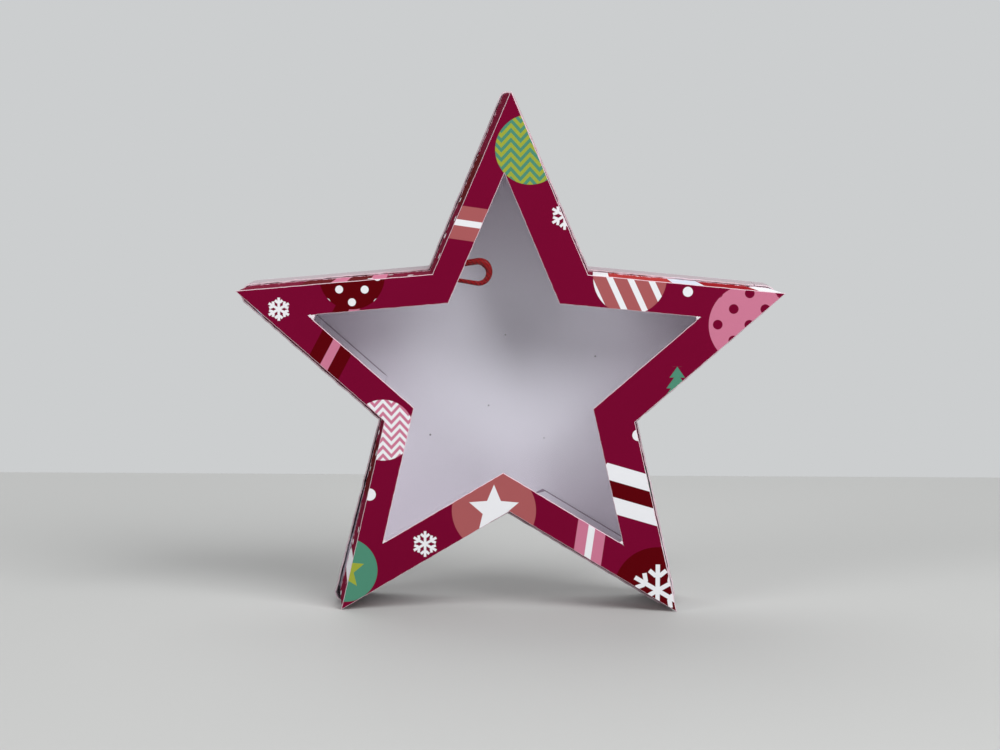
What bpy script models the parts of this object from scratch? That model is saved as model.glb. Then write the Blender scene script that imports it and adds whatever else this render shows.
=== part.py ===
"""Star-shaped candy box of folded card: a window box with a cover that slides off its back."""

import math

import bmesh
import bpy
from mathutils import Vector

MM = 0.001

# Outline of the front panel, from the star's centre to its tips and to its notches
star_points = 5
tip_radius = 75.0 * MM
notch_radius = 34.3 * MM

# Window in the front panel, cut a little off centre
window_tip_radius = 53.5 * MM
window_notch_radius = 24.5 * MM
window_shift_x = -1.6 * MM
window_shift_z = 0.4 * MM

# Depth of the closed box, and how much of it the rear cover takes
box_depth = 25.0 * MM
cover_depth = 14.0 * MM

# Sheets, and the clearance between sheets that are glued or rest on each other
card_thickness = 0.35 * MM
film_thickness = 0.2 * MM
film_margin = 3.5 * MM
sheet_gap = 0.3 * MM

# Room between the window box's walls and the cover, and how far the loose cover sits left and down
cover_play = 1.05 * MM
cover_left_share = 0.52
cover_down_share = 0.48

# Strip joints, from the right arm's tip and from the left leg's tip: the short strip laps under the long
arm_seam = 6.75 * MM
leg_seam = 14.0 * MM
lap_length = 8.0 * MM
lap_jog = 1.4 * MM
lap_edge_inset = 1.5 * MM

# Glue tabs: the front ones, a share of the window frame's width, stay hidden behind it, and the
# cover's are wide enough for some of them to show through the window
front_tab_share = 0.72
cover_tab_width = 8.7 * MM
tab_notch_inset = 0.6 * MM
tab_notch_slope_share = 0.6

# Cord loop glued in the upper left notch
cord_diameter = 1.8 * MM
loop_height = 6.9 * MM
loop_reach = 15.4 * MM
loop_pinch_share = 0.52

# Fineness of round stretches, the least angle that counts as a fold, and the part of a sheet's
# thickness within which its corners are one
tip_arc_steps = 8
loop_arc_steps = 12
loop_leg_steps = 4
cord_resolution = 2
fold_angle = math.radians(30.0)
weld_share = 0.01

# Angles and distances that follow from the star
corner_count = 2 * star_points
corner_step = math.pi / star_points
half_tip_angle = math.atan2(
    notch_radius * math.sin(corner_step),
    tip_radius - notch_radius * math.cos(corner_step),
)
side_distance = tip_radius * math.sin(half_tip_angle)
foot_slope = math.cos(corner_step)
foot_drop = tip_radius * foot_slope
frame_width = side_distance - window_tip_radius * math.sin(half_tip_angle)
front_tab_width = frame_width * front_tab_share

# Cover outline: the play and one card outside the window box, its tips rounded until its feet stand
# level with the front panel's
cover_offset = cover_play + card_thickness
cover_growth = cover_offset / side_distance
cover_left = cover_left_share * cover_play
cover_down = cover_down_share * cover_play
tip_run = 1.0 / math.sin(half_tip_angle)
cover_tip_radius = (foot_drop * cover_growth + cover_down) / (tip_run * foot_slope - 1.0)

# Window box walls: their tips are rounded just enough to keep the play inside the cover's tips
cover_inner_reach = tip_radius * (1.0 + cover_growth) - cover_tip_radius * (tip_run - 1.0) - card_thickness
wall_tip_radius = (tip_radius + cover_play - cover_inner_reach) / (tip_run - 1.0)

# Layers, measured back from the front face
wall_front = card_thickness + sheet_gap
film_front = wall_front + card_thickness + sheet_gap
back_panel_front = box_depth - card_thickness
cover_wall_back = back_panel_front - sheet_gap
wall_back = cover_wall_back - card_thickness - sheet_gap
cover_wall_front = box_depth - cover_depth

# Sides of the star that each wall strip goes round, and the sides that hold their seams
long_sides = (6, 7, 8, 9, 0, 1)
short_sides = (2, 3, 4, 5)
seam_distances = {1: arm_seam, 6: leg_seam}


def corner_angle(corner):
    """Direction of a corner from the centre; even corners are tips, counted clockwise from the top."""
    return math.pi / 2.0 - corner_step * corner


def star_corner(corner, grow=0.0):
    """Sharp corner of the box outline, moved out so that every side lies grow further out."""
    scale = 1.0 + grow / side_distance
    radius = tip_radius if corner % 2 == 0 else notch_radius
    angle = corner_angle(corner)
    return Vector((math.cos(angle), math.sin(angle))) * radius * scale


def plain_star(tip, notch, shift=(0.0, 0.0)):
    """Sharp star outline with its own radii."""
    points = []
    for corner in range(corner_count):
        radius = tip if corner % 2 == 0 else notch
        angle = corner_angle(corner)
        points.append(Vector((math.cos(angle), math.sin(angle))) * radius + Vector(shift))
    return points


def tip_arc(corner, grow, radius):
    """Round end of one tip, clockwise."""
    direction = corner_angle(corner)
    reach = star_corner(corner, grow).length - radius * tip_run
    centre = Vector((math.cos(direction), math.sin(direction))) * reach
    half_sweep = math.pi / 2.0 - half_tip_angle
    points = []
    for step in range(tip_arc_steps + 1):
        angle = direction + half_sweep * (1.0 - 2.0 * step / tip_arc_steps)
        points.append(centre + Vector((math.cos(angle), math.sin(angle))) * radius)
    return points


def corner_run(first, last, grow, radius):
    """Outline through a run of corners, clockwise, with round tips and sharp notches."""
    points = []
    for corner in range(first, last + 1):
        if corner % 2 == 0:
            points.extend(tip_arc(corner, grow, radius))
        else:
            points.append(star_corner(corner, grow))
    return points


def along_side(corner, towards, distance, grow):
    """Point on the side between two corners, at a distance from the first."""
    start = star_corner(corner, grow)
    direction = (star_corner(towards, grow) - start).normalized()
    return start + direction * distance


def inward(side):
    """Unit vector from a side to the inside of the star; side n joins corners n and n + 1."""
    run = (star_corner(side + 1) - star_corner(side)).normalized()
    return Vector((run.y, -run.x))


def make_collection(name):
    collection = bpy.data.collections.new(name)
    bpy.context.scene.collection.children.link(collection)
    return collection


def make_material(name, color, roughness, alpha=1.0):
    material = bpy.data.materials.new(name)
    material.use_nodes = True
    shader = material.node_tree.nodes["Principled BSDF"]
    shader.inputs["Base Color"].default_value = (*color, 1.0)
    shader.inputs["Roughness"].default_value = roughness
    shader.inputs["Metallic"].default_value = 0.0
    shader.inputs["Alpha"].default_value = alpha
    return material


def make_empty(name, location):
    empty = bpy.data.objects.new(name, None)
    empty.location = location
    box_parts.objects.link(empty)
    return empty


def flat_sheet(name, outlines, thickness, front, material=None, holder=None):
    """Flat card cut to one or more outlines; an outline inside another is a hole."""
    curve = bpy.data.curves.new(name, "CURVE")
    curve.dimensions = "2D"
    curve.fill_mode = "BOTH"
    curve.extrude = thickness / 2.0
    for outline in outlines:
        spline = curve.splines.new("POLY")
        spline.points.add(len(outline) - 1)
        for point, place in zip(spline.points, outline):
            point.co = (place.x, place.y, 0.0, 1.0)
        spline.use_cyclic_u = True
    drawing = bpy.data.objects.new(name + "_drawing", curve)
    drawing.rotation_euler = (math.pi / 2.0, 0.0, 0.0)
    drawing.location = (0.0, front + thickness / 2.0, 0.0)
    cutters.objects.link(drawing)
    bpy.context.view_layer.update()
    evaluated = drawing.evaluated_get(bpy.context.evaluated_depsgraph_get())
    mesh = bpy.data.meshes.new_from_object(evaluated)
    weld(mesh, thickness * weld_share)
    sheet = bpy.data.objects.new(name, mesh)
    sheet.matrix_world = drawing.matrix_world.copy()
    bpy.data.objects.remove(drawing)
    finish_piece(sheet, material, holder)
    return sheet


def weld(mesh, distance):
    """Joins the caps of a filled curve to its edges."""
    shape = bmesh.new()
    shape.from_mesh(mesh)
    bmesh.ops.remove_doubles(shape, verts=shape.verts, dist=distance)
    bmesh.ops.recalc_face_normals(shape, faces=shape.faces)
    shade_round(shape)
    shape.to_mesh(mesh)
    shape.free()


def shade_round(shape):
    """Shades round stretches smooth, and keeps folds and cut edges sharp."""
    for face in shape.faces:
        face.smooth = True
    for edge in shape.edges:
        edge.smooth = not edge.is_boundary and edge.calc_face_angle() < fold_angle


def finish_piece(piece, material, holder):
    """Files a finished piece with the box, or with the shapes that are only joined to other pieces."""
    if material is None:
        cutters.objects.link(piece)
        piece.hide_render = True
        piece.display_type = "WIRE"
    else:
        box_parts.objects.link(piece)
        piece.data.materials.clear()
        piece.data.materials.append(material)
    piece.parent = holder


def upright_strip(name, path, front, back, material=None, holder=None):
    """Card strip that stands on a path, with its outer face on the path."""
    shape = bmesh.new()
    verts = [shape.verts.new((place.x, front, place.y)) for place in path]
    edges = [shape.edges.new(pair) for pair in zip(verts, verts[1:])]
    grown = bmesh.ops.extrude_edge_only(shape, edges=edges)["geom"]
    moved = [item for item in grown if isinstance(item, bmesh.types.BMVert)]
    bmesh.ops.translate(shape, verts=moved, vec=(0.0, back - front, 0.0))
    shape.normal_update()
    run = path[1] - path[0]
    outward = Vector((-run.y, 0.0, run.x))
    if edges[0].link_faces[0].normal.dot(outward) < 0.0:
        bmesh.ops.reverse_faces(shape, faces=shape.faces)
    shade_round(shape)
    mesh = bpy.data.meshes.new(name)
    shape.to_mesh(mesh)
    shape.free()
    strip = bpy.data.objects.new(name, mesh)
    sheet = strip.modifiers.new("card", "SOLIDIFY")
    sheet.thickness = card_thickness
    sheet.offset = -1.0
    sheet.use_even_offset = True
    finish_piece(strip, material, holder)
    return strip


def join_shape(piece, addition, holder):
    """Adds a hidden shape to a piece, so that both are one sheet."""
    addition.parent = holder
    union = piece.modifiers.new(addition.name, "BOOLEAN")
    union.operation = "UNION"
    union.solver = "EXACT"
    union.object = addition


def tab_outline(side, width, grow):
    """Glue tab on one side: chamfered at the arm's centre line or a strip joint, and beside the notch."""
    tip, notch = (side, side + 1) if side % 2 == 0 else (side + 1, side)
    start = star_corner(tip, grow)
    run = (star_corner(notch, grow) - start).normalized()
    side_length = (star_corner(notch, grow) - start).length
    turn = inward(side)
    root = card_thickness / 2.0
    tip_end = (width + sheet_gap) / math.tan(half_tip_angle) - width
    if side in seam_distances:
        tip_end = max(tip_end, seam_distances[side] + tip_shift(grow) + 2.0 * sheet_gap)
    notch_end = side_length - tab_notch_inset
    return [
        start + run * tip_end + turn * root,
        start + run * notch_end + turn * root,
        start + run * (notch_end - width * tab_notch_slope_share) + turn * width,
        start + run * (tip_end + width) + turn * width,
    ]


def add_tabs(strip, sides, width, front, grow, holder):
    """Folds a row of glue tabs inwards from a strip's edge."""
    outlines = [tab_outline(side, width, grow) for side in sides]
    tabs = flat_sheet(strip.name + "_tabs", outlines, card_thickness, front)
    join_shape(strip, tabs, holder)


def add_lap(strip, label, side, corner, towards, holder):
    """Joining lap at one end of the short strip: it steps in and runs on under the long strip."""
    turn = inward(side)
    seam = seam_distances[side]
    stations = (
        (-2.0 * lap_jog, card_thickness / 2.0),
        (-lap_jog, card_thickness / 2.0),
        (0.0, card_thickness + sheet_gap),
        (lap_length, card_thickness + sheet_gap),
    )
    path = []
    for run, depth in stations:
        path.append(along_side(corner, towards, seam + run, 0.0) + turn * depth)
    if towards < corner:
        path.reverse()
    front = wall_front + card_thickness + sheet_gap
    lap = upright_strip(label, path, front, wall_back - lap_edge_inset)
    join_shape(strip, lap, holder)


def tip_shift(grow):
    """How much further along a side its sharp tip lies once the side is moved out."""
    return grow / math.tan(half_tip_angle)


def strip_paths(grow, radius):
    """Paths of the long and short strips, whose ends face each other at the two seams."""
    half_gap = sheet_gap / 2.0
    arm_end = arm_seam + tip_shift(grow)
    leg_end = leg_seam + tip_shift(grow)
    long_path = [along_side(6, 7, leg_end + half_gap, grow)]
    long_path += corner_run(7, 11, grow, radius)
    long_path.append(along_side(12, 11, arm_end + half_gap, grow))
    short_path = [along_side(2, 1, arm_end - half_gap, grow)]
    short_path += corner_run(2, 6, grow, radius)
    short_path.append(along_side(6, 7, leg_end - half_gap, grow))
    return long_path, short_path


def make_window_frame(holder):
    outer = plain_star(tip_radius, notch_radius)
    opening = plain_star(window_tip_radius, window_notch_radius, (window_shift_x, window_shift_z))
    return flat_sheet("window_frame", [outer, opening], card_thickness, 0.0, printed_card, holder)


def make_window_film(holder):
    grown = 1.0 + film_margin / (window_tip_radius * math.sin(half_tip_angle))
    outline = plain_star(
        window_tip_radius * grown,
        window_notch_radius * grown,
        (window_shift_x, window_shift_z),
    )
    return flat_sheet("window_film", [outline], film_thickness, film_front, clear_film, holder)


def make_front_walls(holder):
    long_path, short_path = strip_paths(0.0, wall_tip_radius)
    long_strip = upright_strip(
        "front_wall_long_strip", long_path, wall_front, wall_back, printed_card, holder
    )
    add_tabs(long_strip, long_sides, front_tab_width, wall_front, 0.0, holder)
    short_strip = upright_strip(
        "front_wall_short_strip", short_path, wall_front, wall_back, printed_card, holder
    )
    add_tabs(short_strip, short_sides, front_tab_width, wall_front, 0.0, holder)
    add_lap(short_strip, "arm_lap", 1, 2, 1, holder)
    add_lap(short_strip, "leg_lap", 6, 6, 7, holder)


def make_cord_loop(holder):
    """Round cord bent into a loop whose two ends meet the inside of the upper left notch."""
    notch = star_corner(9, -card_thickness)
    radius = cord_diameter / 2.0
    bend = loop_height / 2.0 - radius
    bend_x = notch.x + loop_reach - radius - bend
    end_x = notch.x + cord_diameter
    end_rise = bend * loop_pinch_share
    path = []
    for step in range(loop_leg_steps):
        share = step / loop_leg_steps
        path.append((end_x + (bend_x - end_x) * share, end_rise + (bend - end_rise) * share))
    for step in range(loop_arc_steps + 1):
        angle = math.pi * (0.5 - step / loop_arc_steps)
        path.append((bend_x + bend * math.cos(angle), bend * math.sin(angle)))
    for x, z in path[loop_leg_steps - 1::-1]:
        path.append((x, -z))
    curve = bpy.data.curves.new("cord_loop", "CURVE")
    curve.dimensions = "3D"
    curve.bevel_depth = radius
    curve.bevel_resolution = cord_resolution
    curve.use_fill_caps = True
    spline = curve.splines.new("POLY")
    spline.points.add(len(path) - 1)
    for point, (x, z) in zip(spline.points, path):
        point.co = (x, 0.0, z, 1.0)
    loop = bpy.data.objects.new("cord_loop", curve)
    loop.location = (0.0, film_front + film_thickness + sheet_gap + radius, notch.y)
    curve.materials.append(red_cord)
    box_parts.objects.link(loop)
    loop.parent = holder


def make_rear_cover(holder):
    """Cover pieces, measured forward from the cover's back face."""
    outline = corner_run(0, corner_count - 1, cover_offset, cover_tip_radius)
    flat_sheet("back_panel", [outline], card_thickness, -card_thickness, plain_card, holder)
    front = cover_wall_front - box_depth
    back = cover_wall_back - box_depth
    tab_front = back - card_thickness
    long_path, short_path = strip_paths(cover_offset, cover_tip_radius)
    long_strip = upright_strip("cover_wall_long_strip", long_path, front, back, plain_card, holder)
    add_tabs(long_strip, long_sides, cover_tab_width, tab_front, cover_offset, holder)
    short_strip = upright_strip("cover_wall_short_strip", short_path, front, back, plain_card, holder)
    add_tabs(short_strip, short_sides, cover_tab_width, tab_front, cover_offset, holder)


for leftover in list(bpy.data.objects):
    bpy.data.objects.remove(leftover)

box_parts = make_collection("star_candy_box")
cutters = make_collection("joined_shapes")

printed_card = make_material("printed_card", (0.205, 0.004, 0.033), 0.45)
plain_card = make_material("plain_card", (0.72, 0.71, 0.74), 0.6)
clear_film = make_material("clear_film", (0.9, 0.9, 0.92), 0.05, alpha=0.2)
red_cord = make_material("red_cord", (0.42, 0.01, 0.012), 0.25)

window_box = make_empty("window_box", (0.0, -box_depth / 2.0, foot_drop))
make_window_frame(window_box)
make_window_film(window_box)
make_front_walls(window_box)
make_cord_loop(window_box)

rear_cover = make_empty("rear_cover", (-cover_left, box_depth / 2.0, foot_drop - cover_down))
make_rear_cover(rear_cover)
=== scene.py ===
"""Looks of the star candy box: printed card, clear film, plain card and a red cord loop."""

import math

import bmesh
import bpy
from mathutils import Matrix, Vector, noise


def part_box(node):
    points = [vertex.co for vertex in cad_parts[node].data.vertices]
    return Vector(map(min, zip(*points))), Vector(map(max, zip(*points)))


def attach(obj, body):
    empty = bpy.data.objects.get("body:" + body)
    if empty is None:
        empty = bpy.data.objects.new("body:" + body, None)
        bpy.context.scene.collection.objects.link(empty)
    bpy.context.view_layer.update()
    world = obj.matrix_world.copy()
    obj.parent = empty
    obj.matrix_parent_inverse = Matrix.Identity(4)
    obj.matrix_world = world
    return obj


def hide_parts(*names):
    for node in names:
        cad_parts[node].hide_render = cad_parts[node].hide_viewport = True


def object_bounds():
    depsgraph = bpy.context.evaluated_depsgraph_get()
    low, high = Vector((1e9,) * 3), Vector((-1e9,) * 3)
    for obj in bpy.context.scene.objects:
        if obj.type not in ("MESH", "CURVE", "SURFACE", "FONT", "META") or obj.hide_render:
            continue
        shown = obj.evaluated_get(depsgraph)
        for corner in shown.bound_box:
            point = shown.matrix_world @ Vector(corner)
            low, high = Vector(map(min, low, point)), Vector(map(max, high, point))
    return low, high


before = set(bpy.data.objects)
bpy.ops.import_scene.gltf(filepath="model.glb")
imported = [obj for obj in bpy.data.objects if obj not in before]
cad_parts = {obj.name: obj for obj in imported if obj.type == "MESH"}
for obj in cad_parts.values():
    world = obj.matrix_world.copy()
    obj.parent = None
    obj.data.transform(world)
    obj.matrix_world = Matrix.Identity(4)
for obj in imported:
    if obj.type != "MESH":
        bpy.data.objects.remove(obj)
cad_low, cad_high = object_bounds()

# Front panel
# One sheet of card, printed on one side, with the star and its window cut on a craft plotter. The blade
# leaves the white core of the card bare along every edge. The panel is glued onto the tabs of the walls.
MM = 0.001
PER_MM = 1.0 / MM
panel_low, panel_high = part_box("window_frame")
card_thickness = panel_high.y - panel_low.y
corner_count = 10
corner_step = math.pi / 5.0
tip_radius = (panel_high.x - panel_low.x) / 2.0 / math.cos(corner_step / 2.0)
notch_radius = 34.3 * MM
star_height = panel_high.z - tip_radius
window_tip_radius = 53.5 * MM
window_notch_radius = 24.5 * MM
window_shift = Vector((-1.6, 0.4)) * MM
core_width = 0.14 * MM
cut_wander = 0.08 * MM
torn_tips = {2: 1.1 * MM, 4: 1.0 * MM, 6: 0.9 * MM, 8: 1.8 * MM}
cut_wander_length = 1.6 * MM
cut_wander_seed = 1
panel_bow = 0.12 * MM
panel_bow_length = 40.0 * MM
side_cuts = 47
width_cuts = 5
flat_normal = 0.95
fold_angle = math.radians(32.0)

half_tip_angle = math.atan2(
    notch_radius * math.sin(corner_step),
    tip_radius - notch_radius * math.cos(corner_step),
)
side_distance = tip_radius * math.sin(half_tip_angle)
window_side_distance = window_tip_radius * math.sin(half_tip_angle)


def star_corner(corner, tip=tip_radius, notch=notch_radius, shift=Vector((0.0, 0.0))):
    """Corner of a star outline, clockwise from the top tip; even corners are tips."""
    radius = tip if corner % 2 == 0 else notch
    angle = math.pi / 2.0 - corner_step * corner
    return Vector((math.cos(angle), math.sin(angle))) * radius + shift


def closed_outline(shape, places, depth):
    """Loop of edges through places on the star's plane, at a depth."""
    verts = [shape.verts.new((place.x, depth, star_height + place.y)) for place in places]
    return [shape.edges.new(pair) for pair in zip(verts, verts[1:] + verts[:1])]


def face_front(shape):
    """Turns a flat sheet's faces to the front."""
    shape.normal_update()
    if sum(face.normal.y for face in shape.faces) > 0.0:
        bmesh.ops.reverse_faces(shape, faces=shape.faces)


def thicken(shape, thickness):
    """Gives a flat sheet its thickness, backwards from its front face."""
    grown = bmesh.ops.extrude_face_region(shape, geom=shape.faces[:], use_keep_orig=True)
    back = [item for item in grown["geom"] if isinstance(item, bmesh.types.BMVert)]
    bmesh.ops.translate(shape, verts=back, vec=(0.0, thickness, 0.0))
    bmesh.ops.recalc_face_normals(shape, faces=shape.faces)


def swelling(place, wave_length):
    """Smooth noise between 0 and 1 at a place."""
    return 0.5 + 0.5 * noise.noise(place / wave_length)


def keep_inside(verts):
    """Holds a sheet's small waves within the box of the object."""
    for vert in verts:
        for axis in range(3):
            vert.co[axis] = min(max(vert.co[axis], cad_low[axis]), cad_high[axis])


def mesh_of(name, shape):
    """Turns a shape into a mesh and lets go of the shape."""
    mesh = bpy.data.meshes.new(name)
    shape.to_mesh(mesh)
    shape.free()
    return mesh


def show_mesh(name, mesh, finishes):
    """Puts a finished mesh in the scene, with its round stretches smooth and its folds sharp."""
    for index, finish in enumerate(finishes):
        if index < len(mesh.materials):
            mesh.materials[index] = finish
        else:
            mesh.materials.append(finish)
    mesh.shade_smooth()
    mesh.set_sharp_from_angle(angle=fold_angle)
    piece = bpy.data.objects.new(name, mesh)
    bpy.context.scene.collection.objects.link(piece)
    return piece


def screen(red, green, blue):
    """Colour of a finish, written as it shows on a screen, in the renderer's linear values."""
    channels = []
    for level in (red, green, blue):
        share = level / 255.0
        channels.append(share / 12.92 if share <= 0.04045 else ((share + 0.055) / 1.055) ** 2.4)
    return (*channels, 1.0)


class Wire:
    """One socket of a finish's nodes. Sums of wires and numbers add Math nodes."""

    def __init__(self, tree, socket=None):
        self.tree = tree
        self.socket = socket

    def node(self, kind, settings=None, sockets=None, output=0):
        """Adds a node: its settings first, then the values or wires of its sockets."""
        made = self.tree.nodes.new("ShaderNode" + kind)
        for name, value in (settings or {}).items():
            if name == "stops":
                ramp = made.color_ramp
                ramp.interpolation = "CONSTANT"
                ramp.elements.remove(ramp.elements[1])
                ramp.elements[0].position, ramp.elements[0].color = value[0]
                for place, color in value[1:]:
                    ramp.elements.new(place).color = color
            else:
                setattr(made, name, value)
        for name, value in (sockets or {}).items():
            if isinstance(value, Wire):
                self.tree.links.new(value.socket, made.inputs[name])
            else:
                made.inputs[name].default_value = value
        return Wire(self.tree, made.outputs[output])

    def math(self, operation, *terms):
        """Adds a Math node on wires and numbers."""
        return self.node("Math", {"operation": operation}, dict(enumerate(terms)))

    def __add__(self, other):
        return self.math("ADD", self, other)

    def __mul__(self, other):
        return self.math("MULTIPLY", self, other)

    __radd__ = __add__
    __rmul__ = __mul__

    def __sub__(self, other):
        return self.math("SUBTRACT", self, other)

    def __rsub__(self, other):
        return self.math("SUBTRACT", other, self)

    def __abs__(self):
        return self.math("ABSOLUTE", self)

    def least(self, other):
        return self.math("MINIMUM", self, other)

    def most(self, other):
        return self.math("MAXIMUM", self, other)

    def root(self):
        return self.math("SQRT", self)

    def wave(self):
        return self.math("SINE", self)

    def turn_of(self, other):
        """Angle, without its sign, between the other wire's axis and the place."""
        return abs(self.math("ARCTAN2", self, other))

    def far(self, other):
        """Distance from the origin of the place whose two parts are these wires."""
        return (self * self + other * other).root()

    def fold(self, length):
        """Runs up and down between zero and a length."""
        return self.math("PINGPONG", self, length)

    def inside(self, blur):
        """Mask that goes from 0 to 1 where the wire passes zero."""
        settings = {"operation": "MULTIPLY_ADD", "use_clamp": True}
        return self.node("Math", settings, dict(enumerate((self, 1.0 / blur, 0.5))))

    def cloud(self, scale, detail=2.0, roughness=0.5):
        """Soft noise around 0.5, read at this vector wire."""
        sockets = {"Vector": self, "Scale": scale, "Detail": detail, "Roughness": roughness}
        return self.node("TexNoise", {"normalize": True}, sockets)

    def blend(self, first, second, mask):
        """Colour that goes from the first to the second with the mask."""
        factor, first_color, second_color, mixed_color = 0, 6, 7, 2
        sockets = {factor: mask, first_color: first, second_color: second}
        return self.node("Mix", {"data_type": "RGBA"}, sockets, mixed_color)

    def parts(self):
        """The x, y and z of a vector wire."""
        made = self.node("SeparateXYZ", {}, {"Vector": self}).socket.node
        return [Wire(self.tree, socket) for socket in made.outputs]


def start_finish(name, **levels):
    """A new finish with the levels that are the same all over it. Returns it, its shader and a wire."""
    finish = bpy.data.materials.new(name)
    finish.use_nodes = True
    shader = finish.node_tree.nodes["Principled BSDF"]
    for socket, value in levels.items():
        shader.inputs[socket.replace("_", " ")].default_value = value
    return finish, shader, Wire(finish.node_tree)


def connect(wire, shader, socket):
    """Leads a wire into a shader's socket."""
    wire.tree.links.new(wire.socket, shader.inputs[socket])


def press_in(wire, shader, strength, height):
    """Gives a finish the fine relief of a wire, of a height in metres."""
    bump = wire.node("Bump", {}, {"Strength": strength, "Distance": height, "Height": wire})
    connect(bump, shader, "Normal")


# Inks and papers of the print, in screen levels, and its blurs and sizes, in mm
maroon = screen(116, 3, 44)
patchy_maroon = screen(124, 6, 50)
dark_red = screen(92, 0, 8)
pink = screen(206, 122, 150)
salmon = screen(172, 92, 94)
white_ink = screen(240, 241, 245)
green = screen(80, 142, 118)
lime = screen(160, 170, 62)
core_white = screen(238, 230, 236)
ink_blur = 0.1
ribbon_reach = 15.0
snowflake_line = 0.34
core_width_range = (-0.3, 0.4)
core_blur = 0.05


def front_plane(start):
    """The place on the object, and its distances in mm to the right of and above the star's centre."""
    place = start.node("TexCoord", output="Object")
    across, _, upwards = place.parts()
    return place, across * PER_MM, (upwards - star_height) * PER_MM


def star_fold(x, z):
    """Place on half a star arm: along the arm's centre line, and away from it."""
    reach = x.far(z)
    turn = x.turn_of(z).fold(corner_step)
    return reach * turn.math("COSINE", turn), reach * turn.wave()


def outside_star(x, z, distance):
    """How far a place lies outside the sides of a star that have this distance from its centre."""
    along, away = star_fold(x, z)
    return along * math.sin(half_tip_angle) + away * math.cos(half_tip_angle) - distance


def disc(x, z, radius):
    """Round spot about the origin."""
    return (radius - x.far(z)).inside(ink_blur)


def five_star(x, z, tip, notch_share=0.45):
    """Plain five-pointed star."""
    along, away = star_fold(x, z)
    rise = tip * notch_share * math.sin(corner_step)
    run = tip - tip * notch_share * math.cos(corner_step)
    length = math.hypot(rise, run)
    return ((tip - along) * (rise / length) - away * (run / length)).inside(ink_blur)


def snowflake(x, z, reach, half_line):
    """Six plain arms, each with one pair of branches."""
    half_sector, lean, fork_share, branch_share = math.pi / 6.0, math.radians(50.0), 0.5, 0.42
    turn = x.turn_of(z).fold(half_sector)
    distance = x.far(z)
    along = distance * turn.math("COSINE", turn)
    away = distance * turn.wave()
    arm = (half_line - away).least(reach - along).inside(ink_blur)
    from_fork = along - reach * fork_share
    side = half_line - abs(from_fork * math.sin(lean) - away * math.cos(lean))
    end = reach * branch_share - (from_fork * math.cos(lean) + away * math.sin(lean))
    return arm.most(side.least(end).least(from_fork).inside(ink_blur))


def zigzag(x, z, pitch, swing, half_line):
    """Zigzag lines one above the other."""
    wave = x.fold(pitch / 2.0) * (2.0 * swing / pitch)
    return (half_line - abs((z + wave).fold(pitch / 2.0) - pitch / 4.0)).inside(ink_blur)


def stripes(x, z, turn, pitch, half_line):
    """Straight stripes, set across a direction."""
    across = x * math.cos(turn) + z * math.sin(turn)
    return (half_line - across.fold(pitch / 2.0)).inside(ink_blur)


def spots(x, z, pitch, radius):
    """Dots on a square net that is turned by 45 degrees."""
    across = (x + z) * math.sqrt(0.5)
    upwards = (z - x) * math.sqrt(0.5)
    return disc(across.fold(pitch / 2.0), upwards.fold(pitch / 2.0), radius)


def fir_tree(x, z, height, half_foot):
    """Tree of stacked triangles."""
    tier_count, trunk_share, tier_share = 3.0, 0.7, 0.35
    tiers = z * (tier_count / height)
    share = tiers.math("FRACT", tiers)
    width = (1.0 - z * (1.0 / height)) * (half_foot * trunk_share) + (1.0 - share) * (half_foot * tier_share)
    return (width - abs(x)).least(z).least(height - z).inside(ink_blur)


def finish_print(place, shader, roughness):
    """The print's faint patches of gloss, and the fine tooth of its card."""
    tooth = place.cloud(scale=5200.0, detail=2.0, roughness=0.6)
    patches = place.cloud(scale=45.0, detail=1.0, roughness=0.4)
    connect(roughness + patches * 0.14 + tooth * 0.06, shader, "Roughness")
    press_in(tooth, shader, strength=0.1, height=0.02 * MM)


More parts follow.
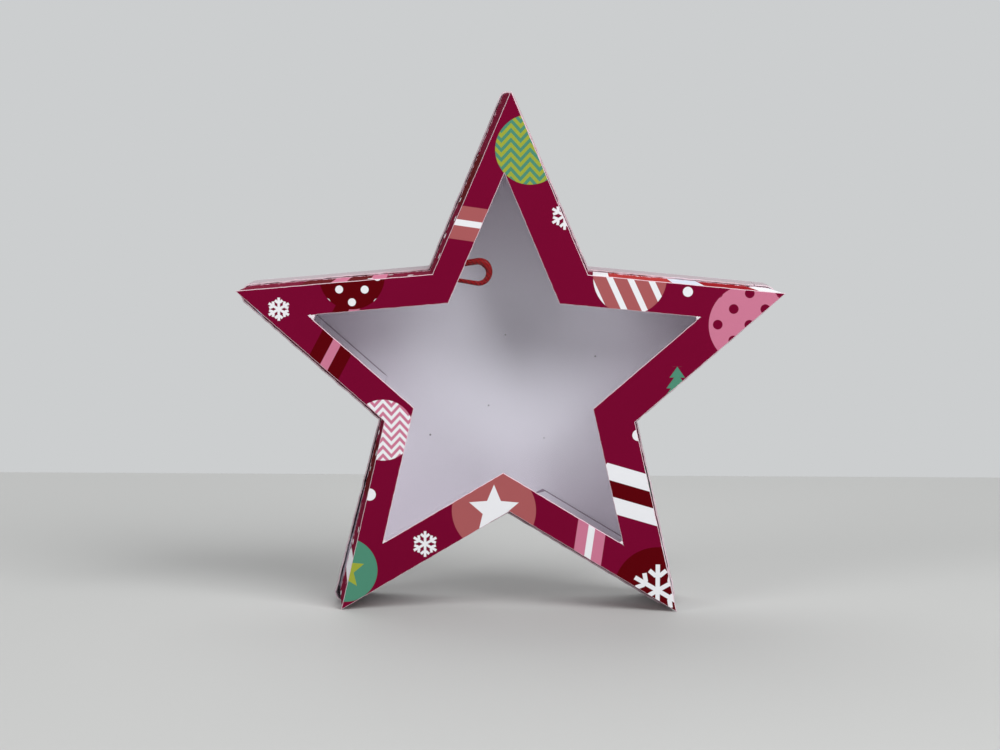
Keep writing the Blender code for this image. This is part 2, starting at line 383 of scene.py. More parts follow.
def make_front_print():
    """Ribbons, ornaments and loose figures on maroon, and the bare core along the cuts."""
    finish, shader, start = start_finish("printed_front", Specular_IOR_Level=0.04)
    place, x, z = front_plane(start)
    color = start.blend(maroon, patchy_maroon, place.cloud(scale=30.0))

    # Ribbons across the card: centre, turn, half width, ground, half width of the middle line, its ink
    for centre_x, centre_z, turn, half, ground, half_line, ink in (
        (-47.0, 6.0, -28.0, 4.8, dark_red, 1.2, pink),
        (37.0, -31.0, 74.0, 6.2, white_ink, 2.0, dark_red),
        (-12.0, 41.0, 82.0, 4.4, salmon, 0.8, white_ink),
        (21.0, -43.0, -8.0, 3.8, pink, 0.9, white_ink),
    ):
        right, up = x - centre_x, z - centre_z
        lean = math.radians(turn)
        offset = abs(right * math.cos(lean) + up * math.sin(lean))
        near = disc(right, up, ribbon_reach)
        color = start.blend(color, ground, (half - offset).inside(ink_blur) * near)
        color = start.blend(color, ink, (half_line - offset).inside(ink_blur) * near)

    # Round ornaments: centre, radius, ground, figure and its ink
    for centre_x, centre_z, radius, ground, figure, ink in (
        (5.0, 60.0, 9.0, green, "zigzag", lime),
        (31.0, 27.0, 9.5, salmon, "stripes", white_ink),
        (62.0, 15.0, 10.5, pink, "spots", maroon),
        (39.0, -55.0, 11.5, dark_red, "flake", white_ink),
        (-4.0, -34.0, 11.0, salmon, "star", white_ink),
        (-43.0, -50.0, 8.5, green, "star", lime),
        (-33.0, -13.0, 8.0, pink, "zigzag", white_ink),
        (-41.0, 27.0, 8.5, dark_red, "spots", white_ink),
    ):
        right, up = x - centre_x, z - centre_z
        round_mask = disc(right, up, radius)
        if figure == "zigzag":
            drawn = zigzag(right, up, pitch=radius * 0.55, swing=radius * 0.3, half_line=radius * 0.07)
        elif figure == "star":
            drawn = five_star(right, up, tip=radius * 0.62)
        elif figure == "stripes":
            lean = math.radians(25.0)
            drawn = stripes(right, up, lean, pitch=radius * 0.5, half_line=radius * 0.08)
        elif figure == "flake":
            drawn = snowflake(right, up, reach=radius * 0.6, half_line=radius * 0.05)
        else:
            drawn = spots(right, up, pitch=radius * 0.55, radius=radius * 0.12)
        color = start.blend(color, ground, round_mask)
        color = start.blend(color, ink, round_mask * drawn)

    # Loose snowflakes, dots and one tree on the maroon ground
    for centre_x, centre_z, reach in ((14.0, 43.0, 3.6), (-60.0, 18.5, 3.0), (-22.0, -43.0, 3.4)):
        color = start.blend(color, white_ink, snowflake(x - centre_x, z - centre_z, reach, snowflake_line))
    for centre_x, centre_z, radius in ((-36.5, -30.0, 1.6), (46.0, 23.5, 1.3), (33.5, -14.0, 1.5)):
        color = start.blend(color, white_ink, disc(x - centre_x, z - centre_z, radius))
    color = start.blend(color, green, fir_tree(x - 43.5, z + 4.5, height=8.5, half_foot=3.4))

    # Bare core along both outlines, where its fibres stick out past the ink
    least, most = core_width_range
    fibres = place.cloud(scale=2600.0, detail=3.0, roughness=0.7)
    edge = outside_star(x, z, side_distance * PER_MM) * -1.0
    window_x, window_z = x - window_shift.x * PER_MM, z - window_shift.y * PER_MM
    window_edge = outside_star(window_x, window_z, window_side_distance * PER_MM)
    worn = (fibres * (most - least) + least - edge.least(window_edge)).inside(core_blur)
    connect(start.blend(color, core_white, worn), shader, "Base Color")
    finish_print(place, shader, roughness=0.36)
    return finish


# Painted shade, partly glue: a darker line along the free edges and ends of some tabs
glue_and_shade_edge = screen(158, 146, 160)
glue_and_shade_rim_start = 0.92
glue_and_shade_rim_blur = 0.03


def make_bare_card(name, light, dark, scale):
    """Card without ink: its unprinted side, or the fibres of its cut edges. A darker line of painted shade,
    partly glue, runs along the very edge of some tabs."""
    finish, shader, start = start_finish(name, Roughness=0.8, Specular_IOR_Level=0.3)
    fibres = start.node("TexCoord", output="Object").cloud(scale, detail=3.0, roughness=0.65)
    tab_rim = start.node("Attribute", {"attribute_name": "tab_rim"}, output="Fac")
    # Mask of the painted shade line, partly glue, at the tabs' edges
    glue_and_shade_mask = (tab_rim - glue_and_shade_rim_start).inside(glue_and_shade_rim_blur)
    connect(start.blend(start.blend(dark, light, fibres), glue_and_shade_edge, glue_and_shade_mask), shader, "Base Color")
    press_in(fibres, shader, strength=0.15, height=0.03 * MM)
    return finish


printed_front = make_front_print()
bare_card = make_bare_card("bare_card", screen(243, 243, 250), screen(231, 231, 240), scale=1400.0)
# The inside of the printed card is tinted pink as painted light: the tint stands for light that comes through
# the maroon print, and it tints the light bounced inside the box
inner_card_painted_pink_light = make_bare_card("inner_card_painted_pink_light", screen(234, 218, 227), screen(221, 205, 215), scale=1400.0)
cut_edge = make_bare_card("cut_edge", screen(252, 236, 242), screen(208, 156, 176), scale=900.0)


def make_front_panel():
    """The cut sheet: its torn window tips, wandering edges, bare front rim and slight bow."""
    shape = bmesh.new()
    front = panel_low.y
    opening = [
        star_corner(corner, window_tip_radius, window_notch_radius, window_shift)
        for corner in range(corner_count)
    ]
    outlines = closed_outline(shape, [star_corner(corner) for corner in range(corner_count)], front)
    outlines += closed_outline(shape, opening, front)
    bmesh.ops.bridge_loops(shape, edges=outlines)
    bmesh.ops.subdivide_edges(shape, edges=outlines, cuts=side_cuts)
    rungs = [edge for edge in shape.edges if not edge.is_boundary]
    bmesh.ops.subdivide_edges(shape, edges=rungs, cuts=width_cuts)
    centre = Vector((window_shift.x, front, star_height + window_shift.y))
    for corner, torn in torn_tips.items():
        direction = star_corner(corner, 1.0)
        arm = Vector((direction.x, 0.0, direction.y))
        for vert in shape.verts:
            place = vert.co - centre
            past = place.dot(arm) - (window_tip_radius - torn)
            beside = (place - arm * place.dot(arm)).length
            if vert.is_boundary and 0.0 < past < torn + cut_wander and beside < torn:
                vert.co -= arm * past
    noise.seed_set(cut_wander_seed)
    for vert in shape.verts:
        if vert.is_boundary:
            wander = noise.noise_vector(vert.co / cut_wander_length) * cut_wander
            vert.co.x += wander.x
            vert.co.z += wander.z
    face_front(shape)
    thicken(shape, card_thickness)
    rim = []
    for edge in shape.edges:
        flat_faces = sum(abs(face.normal.y) > flat_normal for face in edge.link_faces)
        if flat_faces == 1 and max(vert.co.y for vert in edge.verts) < front + card_thickness / 2.0:
            rim.append(edge)
    bmesh.ops.bevel(
        shape, geom=rim, offset=core_width, segments=1, profile=0.5, affect="EDGES", material=-1
    )
    for face in shape.faces:
        toward_back = face.normal.y
        face.material_index = 0 if toward_back < -flat_normal else 1 if toward_back > flat_normal else 2
    for vert in shape.verts:
        vert.co.y += panel_bow * swelling(vert.co, panel_bow_length)
    keep_inside(shape.verts)
    return show_mesh("front_panel", mesh_of("front_panel", shape), (printed_front, inner_card_painted_pink_light, cut_edge))


front_panel = make_front_panel()
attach(front_panel, "window_box")
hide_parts("window_frame")

# Window film
# Clear plastic film, cut as a slightly larger star and glued to the back of the panel's tabs. It lies a
# little wavy, is as glossy as glass and carries a few specks of dust.
film_low, film_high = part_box("window_film")
film_margin = 3.5 * MM
film_buckle = 0.16 * MM
film_buckle_length = 22.0 * MM
film_side_steps = 16
film_ring_shares = (0.92, 0.84, 0.75, 0.66, 0.57, 0.48, 0.39, 0.3, 0.21, 0.12)
film_specks = (
    (-1.2, 12.0, 0.22), (-5.5, -6.5, 0.16), (22.2, 6.5, 0.2), (-20.7, -14.3, 0.24), (9.0, -15.0, 0.14),
)
speck_blur = 0.1
speck_cover = 0.7
film_gloss_power = 5.0
film_gloss_at_edge = 0.9
film_gloss_least = 0.006
film_haze = 0.004
weld_distance = 0.001 * MM


def grow_edges(shape, edges):
    """Extrudes a row of edges in place. Returns the new row's vertices and edges."""
    grown = bmesh.ops.extrude_edge_only(shape, edges=edges)["geom"]
    fresh = {item for item in grown if isinstance(item, bmesh.types.BMVert)}
    row = [item for item in grown if isinstance(item, bmesh.types.BMEdge) and fresh.issuperset(item.verts)]
    return fresh, row


def nested_sheet(shape, places, depth, centre, shares):
    """Flat sheet inside an outline: rings of faces that close at the centre."""
    edges = closed_outline(shape, places, depth)
    middle = Vector((centre.x, depth, star_height + centre.y))
    last_share = 1.0
    for share in (*shares, 0.0):
        verts, edges = grow_edges(shape, edges)
        for vert in verts:
            vert.co = middle + (vert.co - middle) * (share / last_share)
        last_share = share
    bmesh.ops.remove_doubles(shape, verts=shape.verts, dist=weld_distance)
    face_front(shape)


def make_clear_film():
    """Film that is clear from the front and glossy at a slant, with specks of dust."""
    finish, shader, start = start_finish("clear_film", Roughness=0.06, Specular_IOR_Level=0.5)
    place, x, z = front_plane(start)
    dust = None
    for speck_x, speck_z, radius in film_specks:
        mask = (radius - (x - speck_x).far(z - speck_z)).inside(speck_blur)
        dust = mask if dust is None else dust.most(mask)
    connect(start.blend(screen(232, 232, 238), screen(120, 116, 124), dust), shader, "Base Color")
    facing = start.node("LayerWeight", {}, {"Blend": 0.5}, output="Facing")
    gloss = facing.math("POWER", facing, film_gloss_power) * film_gloss_at_edge + film_gloss_least
    haze = place.cloud(scale=60.0) * film_haze
    clear = start.node("BsdfTransparent", {}, {"Color": (0.99, 0.99, 0.995, 1.0)})
    amount = (gloss + haze).most(dust * speck_cover)
    mixed = start.node("MixShader", {}, {0: amount, 1: clear, 2: Wire(start.tree, shader.outputs[0])})
    connect(mixed, finish.node_tree.nodes["Material Output"], "Surface")
    return finish


def make_window_film():
    """The film's star, a margin wider than the window all round and slightly wavy."""
    shape = bmesh.new()
    scale = 1.0 + film_margin / window_side_distance
    tip, notch = window_tip_radius * scale, window_notch_radius * scale
    corners = [star_corner(corner, tip, notch, window_shift) for corner in range(corner_count + 1)]
    places = []
    for start, end in zip(corners, corners[1:]):
        places += [start.lerp(end, step / film_side_steps) for step in range(film_side_steps)]
    nested_sheet(shape, places, film_low.y, window_shift, film_ring_shares)
    for vert in shape.verts:
        vert.co.y -= film_buckle * swelling(vert.co, film_buckle_length)
    thicken(shape, film_high.y - film_low.y)
    return show_mesh("window_film_sheet", mesh_of("window_film_sheet", shape), (make_clear_film(),))


film = make_window_film()
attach(film, "window_box")
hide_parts("window_film")

# Front walls
# Two strips of the printed card, scored and folded into the walls behind the panel. Each side of a strip
# has a glue tab, folded in behind the panel, and the short strip's ends lap under the long strip's. The
# springy walls lean out until they touch the inside of the rear cover, which is a little larger.
wall_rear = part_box("front_wall_long_strip")[1].y
cover_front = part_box("cover_wall_long_strip")[0].y
back_low, back_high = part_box("back_panel")
cover_outset = 1.4 * MM
cover_tip_rounds = (2.0 * MM, 3.0 * MM, 3.0 * MM, 3.0 * MM, 3.0 * MM)
no_drift = Vector((0.0, 0.0))
top_drift = Vector((-0.6, 0.0)) * MM
cover_tip_drifts = (top_drift, no_drift, no_drift, Vector((-1.3, 0.0)) * MM, no_drift)
mouth_tip_drifts = (top_drift, no_drift, no_drift, Vector((-0.36, 0.57)) * MM, no_drift)
cover_drop = 0.504 * MM
cover_shift = Vector(((back_low.x + back_high.x) / 2.0, -cover_drop))
side_length = (star_corner(1) - star_corner(0)).length
left_foot = 6
strip_side_count = 6
leg_seam_side = 6
arm_seam_side = 11
seam_half_gap = 0.15 * MM
seam_distances = {arm_seam_side % corner_count: 6.75 * MM, leg_seam_side: 14.0 * MM}
front_tip_round = 0.35 * MM
front_tab_width = 6.08 * MM
lap_length = 8.0 * MM
lap_jog = 1.4 * MM
lap_step = 0.65 * MM
lap_edge_inset = 1.5 * MM
lap_stations = 8
jog_stations = 4
tab_clearance = 0.3 * MM
tab_notch_inset = 0.6 * MM
tab_notch_slope_share = 0.6
glue_line = 0.01 * MM
wall_step = 1.5 * MM
wall_rows = 12
tab_rows = 3
# Sides whose tabs carry the painted shade line, partly glue, along their edges
glue_and_shade_tab_sides = (4, 7)
tab_end_rim_share = 0.95
tip_arc_steps = 12
wall_bow = 0.05 * MM
wall_bow_length = 16.0 * MM
bow_fade_power = 4
wall_edge_wander = 0.04 * MM
edge_wander_length = 0.9 * MM
mouth_gap = 0.08 * MM
uv_unit = 100.0 * MM
mouth_run = wall_rear - cover_front
core_pink = screen(226, 186, 200)


class Station:
    """Spot on a strip: how far along a side or round a tip it lies, and its run from the left foot's tip."""

    def __init__(self, run, share, side=None, corner=None, lap=0.0):
        self.run = run
        self.share = share
        self.side = side
        self.corner = corner
        self.lap = lap


class Outline:
    """The star's outline once it is moved out, shifted and rounded at its tips. Each tip has its own
    rounding and its own drift, clockwise from the top."""

    def __init__(self, outset, tip_rounds, tip_drifts, shift=(0.0, 0.0)):
        self.outset = outset
        self.scale = 1.0 + outset / side_distance
        self.tip_rounds = tip_rounds
        self.tip_drifts = tip_drifts
        self.shift = Vector(shift)

    def tip_round(self, corner):
        return self.tip_rounds[corner % corner_count // 2]

    def tip_shift(self, corner):
        return self.shift + self.tip_drifts[corner % corner_count // 2]

    def tangent(self, side):
        """How far from its tip a side's straight stretch starts."""
        return self.tip_round(side if side % 2 == 0 else side + 1) / math.tan(half_tip_angle)

    def side(self, side):
        """A side's tip corner, its direction towards the notch, its length and its outward direction."""
        tip, notch = (side, side + 1) if side % 2 == 0 else (side + 1, side)
        start = star_corner(tip) * self.scale + self.tip_shift(tip)
        end = star_corner(notch) * self.scale + self.shift
        run = (star_corner(side + 1) - star_corner(side)).normalized()
        return start, (end - start).normalized(), (end - start).length, Vector((-run.y, run.x))

    def seam(self, side):
        """Where a strip joint lies, measured from the side's tip."""
        return seam_distances[side % corner_count] + self.outset / math.tan(half_tip_angle)

    def tab_ends(self, side, width):
        """Where a side's glue tab starts and ends, measured from the side's tip."""
        tip_end = (width + tab_clearance) / math.tan(half_tip_angle) - width
        if side % corner_count in seam_distances:
            tip_end = max(tip_end, self.seam(side) + 2.0 * tab_clearance)
        return tip_end, self.side(side)[2] - tab_notch_inset

    def place(self, station):
        """A station's place on this outline, and the outward direction there."""
        if station.corner is None:
            tip, towards, length, outward = self.side(station.side)
            tangent = self.tangent(station.side)
            return tip + towards * (tangent + (length - tangent) * station.share), outward
        direction = math.pi / 2.0 - corner_step * station.corner
        tip_round = self.tip_round(station.corner)
        reach = tip_radius * self.scale - tip_round / math.sin(half_tip_angle)
        angle = direction + (math.pi / 2.0 - half_tip_angle) * station.share
        outward = Vector((math.cos(angle), math.sin(angle)))
        centre = Vector((math.cos(direction), math.sin(direction))) * reach
        return centre + outward * tip_round + self.tip_shift(station.corner), outward

    def side_stations(self, side, start, end, tab_width):
        """Stations on one straight side, from one distance from its tip to another."""
        low, high = sorted((start, end))
        marks = [low, *(mark for mark in self.tab_ends(side, tab_width) if low < mark < high), high]
        distances = [low]
        for first, second in zip(marks, marks[1:]):
            count = max(1, round((second - first) / wall_step))
            distances += [first + (second - first) * step / count for step in range(1, count + 1)]
        if start > end:
            distances.reverse()
        tangent = self.tangent(side)
        stations = []
        for distance in distances:
            along = distance / self.scale
            run = (side - left_foot) * side_length + (along if side % 2 == 0 else side_length - along)
            share = (distance - tangent) / (self.side(side)[2] - tangent)
            stations.append(Station(run, share, side=side))
        return stations

    def tip_stations(self, corner):
        """Stations round one tip, between its two sides."""
        stations = []
        for step in range(1, tip_arc_steps):
            share = 1.0 - 2.0 * step / tip_arc_steps
            run = (corner - left_foot) * side_length - self.tangent(corner) * share
            stations.append(Station(run, share, corner=corner))
        return stations

    def strip_stations(self, first_side, seam_turn, tab_width):
        """Stations of a strip of six sides, from the seam on its first side to the one on its last."""
        last_side = first_side + strip_side_count - 1
        stations = []
        for side in range(first_side, last_side + 1):
            length, tangent = self.side(side)[2], self.tangent(side)
            start, end = (tangent, length) if side % 2 == 0 else (length, tangent)
            if side == first_side:
                start = self.seam(side) + seam_half_gap * seam_turn
            elif side == last_side:
                end = self.seam(side) + seam_half_gap * seam_turn
            if side % 2 == 0 and side > first_side:
                stations += self.tip_stations(side)
            straight = self.side_stations(side, start, end, tab_width)
            stations += straight[1:] if side % 2 == 1 and side > first_side else straight
        return stations


def add_lap(stations, outline, at_start):
    """Lets a strip step in at its end and run on under the next strip."""
    line = stations if at_start else stations[::-1]
    end, other = line[0], line[jog_stations - 1]
    sign = 1.0 if end.run > other.run else -1.0
    straight = outline.side(end.side)[2] - outline.tangent(end.side)
    turn = (1.0 if end.share > other.share else -1.0) / straight
    added = []
    for step in range(lap_stations, 0, -1):
        distance = lap_length * step / lap_stations
        added.append(Station(end.run + sign * distance, end.share + turn * distance, side=end.side, lap=1.0))
    for station in line[:jog_stations]:
        station.lap = max(0.0, 1.0 - abs(station.run - end.run) / lap_jog)
    line = added + line
    return line if at_start else line[::-1]


def fold_in_tabs(shape, fold_edges, stations, outline, fold, back, tab_width):
    """Tabs, one a side, each a row of the fold's edges that grows inwards."""
    mark = shape.verts.layers.int["station"]
    depth_layer = shape.verts.layers.float["depth"]
    rim_layer = shape.verts.layers.float["tab_rim"]
    tab_edges = {}
    for edge in fold_edges:
        first, second = (stations[vert[mark]] for vert in edge.verts)
        if first.side is not None and first.side == second.side and first.lap == second.lap == 0.0:
            tangent = outline.tangent(first.side)
            length = outline.side(first.side)[2] - tangent
            centre = tangent + length * (first.share + second.share) / 2.0
            low, high = outline.tab_ends(first.side, tab_width)
            if low < centre < high:
                tab_edges.setdefault(first.side, []).append(edge)
    for side, row in tab_edges.items():
        tip, towards, length, outward = outline.side(side)
        tangent = outline.tangent(side)
        low, high = outline.tab_ends(side, tab_width)
        end_low, end_high = low + tab_width, high - tab_notch_slope_share * tab_width
        for step in range(1, tab_rows + 1):
            share = step / tab_rows
            fresh, row = grow_edges(shape, row)
            ends = (min(vert[mark] for vert in fresh), max(vert[mark] for vert in fresh))
            for vert in fresh:
                # Marks the tab edges and ends that get the painted shade line, partly glue
                if side % corner_count in glue_and_shade_tab_sides and (step == tab_rows or vert[mark] in ends):
                    vert[rim_layer] = tab_end_rim_share if vert[mark] in ends else 1.0
                along = tangent + (length - tangent) * stations[vert[mark]].share
                end = end_low + (end_high - end_low) * (along - low) / (high - low)
                place = tip + towards * (along + (end - along) * share) - outward * tab_width * share
                vert.co = (place.x, fold, star_height + place.y)
                vert[depth_layer] = fold + back * tab_width * share


def solid_card(name, shape):
    """A folded sheet's mesh once it has the thickness of card, with the finishes 0 outside, 1 inside and 2
    on its cut edges."""
    flat = bpy.data.objects.new(name + "_flat", mesh_of(name + "_flat", shape))
    for _ in range(3):
        flat.data.materials.append(bare_card)
    bpy.context.scene.collection.objects.link(flat)
    sheet = flat.modifiers.new("card", "SOLIDIFY")
    sheet.thickness = card_thickness
    sheet.offset = -1.0
    sheet.use_even_offset = True
    sheet.material_offset = 1
    sheet.material_offset_rim = 2
    bpy.context.view_layer.update()
    mesh = bpy.data.meshes.new_from_object(flat.evaluated_get(bpy.context.evaluated_depsgraph_get()))
    bpy.data.objects.remove(flat)
    keep_inside(mesh.vertices)
    mesh.name = name
    return mesh


def folded_strip(name, stations, at_fold, at_mouth, levels, tab_width, bow, wander):
    """Card strip, printed face out, from its cut edge to its fold, with its tabs folded in. It leans from
    one outline at the fold to another at the mouth, past which it stays."""
    cut, mouth, fold = levels
    shape = bmesh.new()
    mark = shape.verts.layers.int.new("station")
    depth_layer = shape.verts.layers.float.new("depth")
    shape.verts.layers.float.new("tab_rim")
    middle = (cut + fold) / 2.0
    lap_share = 1.0 - lap_edge_inset / abs(cut - middle)
    back = 1.0 if fold > cut else -1.0
    verts = []
    for index in range(len(stations)):
        vert = shape.verts.new((0.0, 0.0, 0.0))
        vert[mark] = index
        verts.append(vert)
    edges = [shape.edges.new(pair) for pair in zip(verts, verts[1:])]

    def place_wall(row_verts, share):
        for vert in row_verts:
            station = stations[vert[mark]]
            near, outward = at_fold.place(station)
            depth = middle + (cut + (fold - cut) * share - middle) * (1.0 + (lap_share - 1.0) * station.lap)
            place = near.lerp(at_mouth.place(station)[0], min(1.0, (depth - fold) / (mouth - fold)))
            spot = Vector((near.x, depth, near.y))
            swell = bow * swelling(spot, wall_bow_length) * (1.0 - share ** bow_fade_power)
            if share == 0.0:
                swell += wander * noise.noise(spot / edge_wander_length)
                depth += wander * noise.noise(spot / edge_wander_length + spot / wall_bow_length)
            place += outward * (swell * (1.0 - station.lap) - lap_step * station.lap)
            vert[depth_layer] = depth
            vert.co = (place.x, depth, star_height + place.y)

    place_wall(verts, 0.0)
    for row in range(1, wall_rows + 1):
        fresh, edges = grow_edges(shape, edges)
        place_wall(fresh, row / wall_rows)
    fold_in_tabs(shape, edges, stations, at_fold, fold, back, tab_width)
    shape.normal_update()
    sample = len(stations) // 2
    outward = at_fold.place(stations[sample])[1]
    if verts[sample].link_faces[0].normal.dot(Vector((outward.x, 0.0, outward.y))) < 0.0:
        bmesh.ops.reverse_faces(shape, faces=shape.faces)
    uv = shape.loops.layers.uv.new("sheet")
    for face in shape.faces:
        for loop in face.loops:
            run = stations[loop.vert[mark]].run
            loop[uv].uv = (run / uv_unit, (loop.vert[depth_layer] - cut) * back / uv_unit)
    return solid_card(name, shape)


# Print of the walls, in mm along the strip from the left foot's tip and in from its cut edge
band_span = 530.0
band_slant = 0.03
dot_pitch = 7.5
dot_radius = 0.8
dotted_above = 0.55
scuff_spread = 14.0
scuff_offset = 6.2
scuff_blur = 0.4


def make_wall_print():
    """Bands of ink across the strip, dots on some of them, and a scuffed ring where the cover's edge rubs."""
    finish, shader, start = start_finish("printed_walls", Specular_IOR_Level=0.03)
    run, depth, _ = start.node("TexCoord", output="UV").parts()
    place = start.node("TexCoord", output="Object")
    x = run * (uv_unit * PER_MM)
    z = depth * (uv_unit * PER_MM)
    bands = (
        (0.0, maroon), (30.0, dark_red), (44.0, maroon), (93.5, screen(190, 200, 222)), (96.5, maroon),
        (119.0, dark_red), (127.5, pink), (130.5, dark_red), (138.0, pink), (141.0, maroon),
        (172.0, dark_red), (188.0, maroon), (206.0, salmon), (236.0, maroon), (256.8, white_ink),
        (262.0, screen(176, 52, 50)), (278.0, screen(214, 222, 236)), (286.0, screen(150, 14, 26)),
        (301.3, white_ink), (308.0, maroon), (330.0, pink), (342.0, maroon), (372.0, green),
        (380.0, maroon), (392.0, white_ink), (411.0, maroon), (432.0, pink), (437.0, maroon),
        (470.0, salmon), (482.0, maroon), (520.2, white_ink),
    )
    slanted = (x + z * band_slant) * (1.0 / band_span)
    stops = [(edge / band_span, color) for edge, color in bands]
    color = start.node("ValToRGB", {"stops": stops}, {"Fac": slanted})
    sprinkled = place.cloud(scale=60.0, detail=0.0)
    dots = spots(x, z, dot_pitch, dot_radius) * sprinkled.math("GREATER_THAN", sprinkled, dotted_above)
    color = start.blend(color, white_ink, dots)
    torn = place.cloud(scale=700.0, detail=3.0, roughness=0.7) * scuff_spread - scuff_offset
    scuffed = (torn - abs(z - mouth_run * PER_MM)).inside(scuff_blur)
    connect(start.blend(color, core_pink, scuffed), shader, "Base Color")
    finish_print(place, shader, roughness=0.7)
    return finish


printed_walls = make_wall_print()
front_fold = panel_high.y + glue_line
tip_count = corner_count // 2
front_outline = Outline(0.0, [front_tip_round] * tip_count, [no_drift] * tip_count)
mouth_inset = card_thickness + mouth_gap
mouth_rounds = [tip_round - mouth_inset for tip_round in cover_tip_rounds]
mouth_outline = Outline(cover_outset - mouth_inset, mouth_rounds, mouth_tip_drifts, cover_shift)
long_stations = front_outline.strip_stations(leg_seam_side, 1.0, front_tab_width)
short_stations = front_outline.strip_stations(arm_seam_side, -1.0, front_tab_width)
for at_start in (True, False):
    short_stations = add_lap(short_stations, front_outline, at_start)
for label, node, stations in (
    ("front_wall_long", "front_wall_long_strip", long_stations),
    ("front_wall_short", "front_wall_short_strip", short_stations),
):
    levels = (wall_rear, cover_front, front_fold)
    mesh = folded_strip(
        label, stations, front_outline, mouth_outline, levels, front_tab_width, -wall_bow, wall_edge_wander
    )
    wall = show_mesh(label, mesh, (printed_walls, inner_card_painted_pink_light, cut_edge))
    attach(wall, "window_box")
    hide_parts(node)

# Cover walls
# The rear cover's two strips of plain pearly card, folded as the front ones but cut by hand, so that their
# front edge is ragged and shows the white core. Their wide glue tabs lie on the inside of the back panel.
cover_tab_width = 8.7 * MM
cover_bow = 0.1 * MM
cover_edge_wander = 0.2 * MM


def make_plain_card():
    """Outside of the plain card: a faint pearly coat over fibres."""
    finish, shader, start = start_finish(
        "plain_card", Specular_IOR_Level=0.1, Coat_Roughness=0.4, Coat_Weight=0.03
    )
    place = start.node("TexCoord", output="Object")
    fibres = place.cloud(scale=900.0, detail=3.0, roughness=0.6)
    patches = place.cloud(scale=28.0)
    tone = start.blend(screen(161, 144, 150), screen(183, 170, 176), patches)
    connect(start.blend(tone, screen(197, 190, 196), fibres * 0.4), shader, "Base Color")
    connect(0.5 + patches * 0.15, shader, "Roughness")
    press_in(fibres, shader, strength=0.12, height=0.02 * MM)
    return finish


plain_card = make_plain_card()
plain_edge = make_bare_card("plain_edge", screen(248, 236, 241), screen(196, 172, 182), scale=700.0)
cover_fold = back_low.y - glue_line
cover_outline = Outline(cover_outset, cover_tip_rounds, cover_tip_drifts, cover_shift)
for label, node, first_side, turn in (
    ("cover_wall_long", "cover_wall_long_strip", leg_seam_side, 1.0),
    ("cover_wall_short", "cover_wall_short_strip", arm_seam_side, -1.0),
):
    stations = cover_outline.strip_stations(first_side, turn, cover_tab_width)
    levels = (cover_front, cover_front, cover_fold)
    mesh = folded_strip(
        label, stations, cover_outline, cover_outline, levels, cover_tab_width, cover_bow, cover_edge_wander
    )
    wall = show_mesh(label, mesh, (plain_card, bare_card, plain_edge))
    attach(wall, "rear_cover")
    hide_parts(node)

# Back panel
# A whole star of the plain card, a little larger than the front panel and with round tips, glued onto the
# cover's tabs. Its inside shows through the window.
back_ring_shares = (0.94, 0.88, 0.8, 0.72, 0.63, 0.54, 0.45, 0.36, 0.27, 0.18, 0.09)
back_bow = 0.1 * MM


def make_back_panel():
    """The back's star, on the cover's outline, and bowed a little away from its edge."""
    places = []
    for side in range(corner_count):
        length, tangent = cover_outline.side(side)[2], cover_outline.tangent(side)
        if side % 2 == 0:
            stations = cover_outline.tip_stations(side)
            stations += cover_outline.side_stations(side, tangent, length, cover_tab_width)[:-1]
        else:
            stations = cover_outline.side_stations(side, length, tangent, cover_tab_width)
        places += [cover_outline.place(station)[0] for station in stations]
    shape = bmesh.new()
    nested_sheet(shape, places, back_low.y, cover_shift, back_ring_shares)
    for vert in shape.verts:
        if not vert.is_boundary:
            vert.co.y += back_bow * noise.noise(vert.co / panel_bow_length)
    thicken(shape, back_high.y - back_low.y)
    for face in shape.faces:
        face.material_index = 0 if face.normal.y > flat_normal else 1
    keep_inside(shape.verts)
    return show_mesh("back_panel_sheet", mesh_of("back_panel_sheet", shape), (plain_card, bare_card))


back_panel = make_back_panel()
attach(back_panel, "rear_cover")
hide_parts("back_panel")

# Cord loop
# A short piece of shiny red cord, bent into a loop. Its two ends are glued in behind the panel beside the
# window's upper left notch, and the loop stands free between the film and the back.
cord_low, cord_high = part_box("cord_loop")
cord_middle = (cord_low + cord_high) / 2.0
cord_radius = 0.95 * MM
cord_lift = 0.72 * MM
cord_spread = 0.4 * MM
cord_thickness = ((-1.0, 0.5), (-0.45, 0.66), (0.0, 0.9), (0.25, 1.12), (0.5, 0.9), (1.0, 0.76))
cord_steps = 72
cord_bend_share = 0.45
cord_pinch_share = 0.48
cord_twist = 1.1 * MM
cord_lay_rise = 0.8
cord_lay_depth = 0.6


def cord_place(share, half, bend_x, end_x):
    """Place and thickness on the loop, for a share of its length from -1, its lower end, to 1."""
    for (start, thin), (end, thick) in zip(cord_thickness, cord_thickness[1:]):
        if start <= share <= end:
            radius = cord_radius * (thin + (thick - thin) * (share - start) / (end - start))
    side = -1.0 if share < 0.0 else 1.0
    if abs(share) <= cord_bend_share:
        angle = math.pi / 2.0 * abs(share) / cord_bend_share
        return bend_x + half * math.cos(angle), side * half * math.sin(angle), radius
    run = (abs(share) - cord_bend_share) / (1.0 - cord_bend_share)
    return bend_x + (end_x - bend_x) * run, side * half * (1.0 - cord_pinch_share * run), radius


def make_red_cord():
    """Satin cord, with the slanting ridges of its lay."""
    finish, shader, start = start_finish(
        "red_cord", Coat_Weight=0.08, Coat_Roughness=0.15, Specular_IOR_Level=0.02
    )
    across, depth, upwards = start.node("TexCoord", output="Object").parts()
    slanted = across + upwards * cord_lay_rise + depth * cord_lay_depth
    lay = (slanted * (2.0 * math.pi / cord_twist)).wave() * 0.5 + 0.5
    connect(start.blend(screen(100, 0, 4), screen(156, 2, 7), lay), shader, "Base Color")
    connect(0.3 + lay * 0.12, shader, "Roughness")
    press_in(lay, shader, strength=0.25, height=0.08 * MM)
    return finish


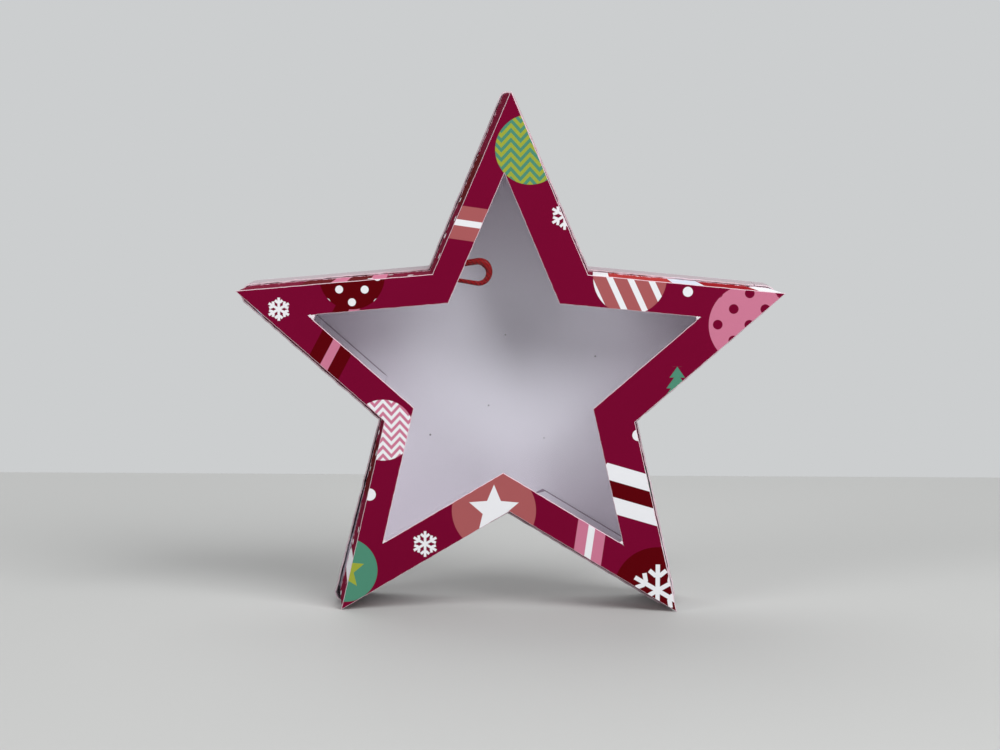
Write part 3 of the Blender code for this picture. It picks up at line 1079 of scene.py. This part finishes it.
def make_cord_loop():
    """The loop, drawn as a thick line and turned into a mesh."""
    half = (cord_high.z - cord_low.z) / 2.0 - cord_radius + cord_spread
    bend_x = cord_high.x - cord_radius - half
    end_x = cord_low.x + cord_radius
    curve = bpy.data.curves.new("cord_path", "CURVE")
    curve.dimensions = "3D"
    curve.bevel_depth = 1.0
    curve.bevel_resolution = 5
    curve.use_fill_caps = True
    spline = curve.splines.new("POLY")
    spline.points.add(cord_steps)
    for step, point in enumerate(spline.points):
        x, z, radius = cord_place(2.0 * step / cord_steps - 1.0, half, bend_x, end_x)
        point.co = (x, cord_middle.y, cord_middle.z + cord_lift + z, 1.0)
        point.radius = radius
    drawn = bpy.data.objects.new("cord_path", curve)
    bpy.context.scene.collection.objects.link(drawn)
    bpy.context.view_layer.update()
    mesh = bpy.data.meshes.new_from_object(drawn.evaluated_get(bpy.context.evaluated_depsgraph_get()))
    bpy.data.objects.remove(drawn)
    shape = bmesh.new()
    shape.from_mesh(mesh)
    bmesh.ops.remove_doubles(shape, verts=shape.verts, dist=weld_distance)
    bmesh.ops.recalc_face_normals(shape, faces=shape.faces)
    return show_mesh("red_cord_loop", mesh_of("red_cord_loop", shape), (make_red_cord(),))


cord_loop = make_cord_loop()
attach(cord_loop, "window_box")
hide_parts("cord_loop")

# Camera
# It stands where the photograph was taken from, and its lens fits the photograph's frame.
camera_place = Vector((4.104, -632.756, 127.955)) * MM
camera_turn = (83.9573, -0.2142, 0.6361)
camera_lens = 86.4
camera_clip_start = 10.0 * MM

sight = bpy.data.cameras.new("camera")
sight.lens = camera_lens
sight.clip_start = camera_clip_start
camera = bpy.data.objects.new("camera", sight)
camera.location = camera_place
camera.rotation_euler = [math.radians(angle) for angle in camera_turn]
bpy.context.scene.collection.objects.link(camera)
bpy.context.scene.camera = camera

# Table top, backdrop and light
# A pale table that ends behind the box, a pale backdrop seen only by the camera and in gloss, a large soft
# lamp in front above and to the right, a weaker one on the left, one high behind and a faint room light.
table_back = 231.0 * MM
table_half_width = 1500.0 * MM
table_depth = 1250.0 * MM
table_color = screen(195, 196, 195)
backdrop_color = screen(204, 206, 207)
room_level = 0.12
lamps = (
    ("key_lamp", Vector((580.0, -610.0, 790.0)) * MM, 700.0 * MM, 11.1),
    ("side_lamp", Vector((-840.0, -700.0, 620.0)) * MM, 500.0 * MM, 4.4),
    ("back_lamp", Vector((-250.0, 620.0, 900.0)) * MM, 900.0 * MM, 5.2),
)

shape = bmesh.new()
bmesh.ops.create_grid(shape, x_segments=1, y_segments=1, size=1.0)
bmesh.ops.scale(shape, verts=shape.verts, vec=(table_half_width, table_depth / 2.0, 1.0))
bmesh.ops.translate(shape, verts=shape.verts, vec=(0.0, table_back - table_depth / 2.0, 0.0))
table_finish = start_finish("table_top", Base_Color=table_color, Roughness=0.55, Specular_IOR_Level=0.05)[0]
table_top = show_mesh("table_top", mesh_of("table_top", shape), (table_finish,))

world = bpy.data.worlds.new("room")
bpy.context.scene.world = world
world.use_nodes = True
start = Wire(world.node_tree)
seen = start.node("LightPath", output="Is Camera Ray")
for ray in ("Is Glossy Ray", "Is Transmission Ray"):
    seen = seen.most(start.node("LightPath", output=ray))
light = start.blend((room_level, room_level, room_level, 1.0), backdrop_color, seen)
connect(light, world.node_tree.nodes["Background"], "Color")

for name, place, size, power in lamps:
    glow = bpy.data.lights.new(name, "AREA")
    glow.shape = "SQUARE"
    glow.size = size
    glow.energy = power
    lamp = bpy.data.objects.new(name, glow)
    lamp.location = place
    lamp.rotation_euler = (Vector((0.0, 0.0, star_height)) - place).to_track_quat("-Z", "Y").to_euler()
    bpy.context.scene.collection.objects.link(lamp)

bpy.context.scene.view_settings.view_transform = "Standard"
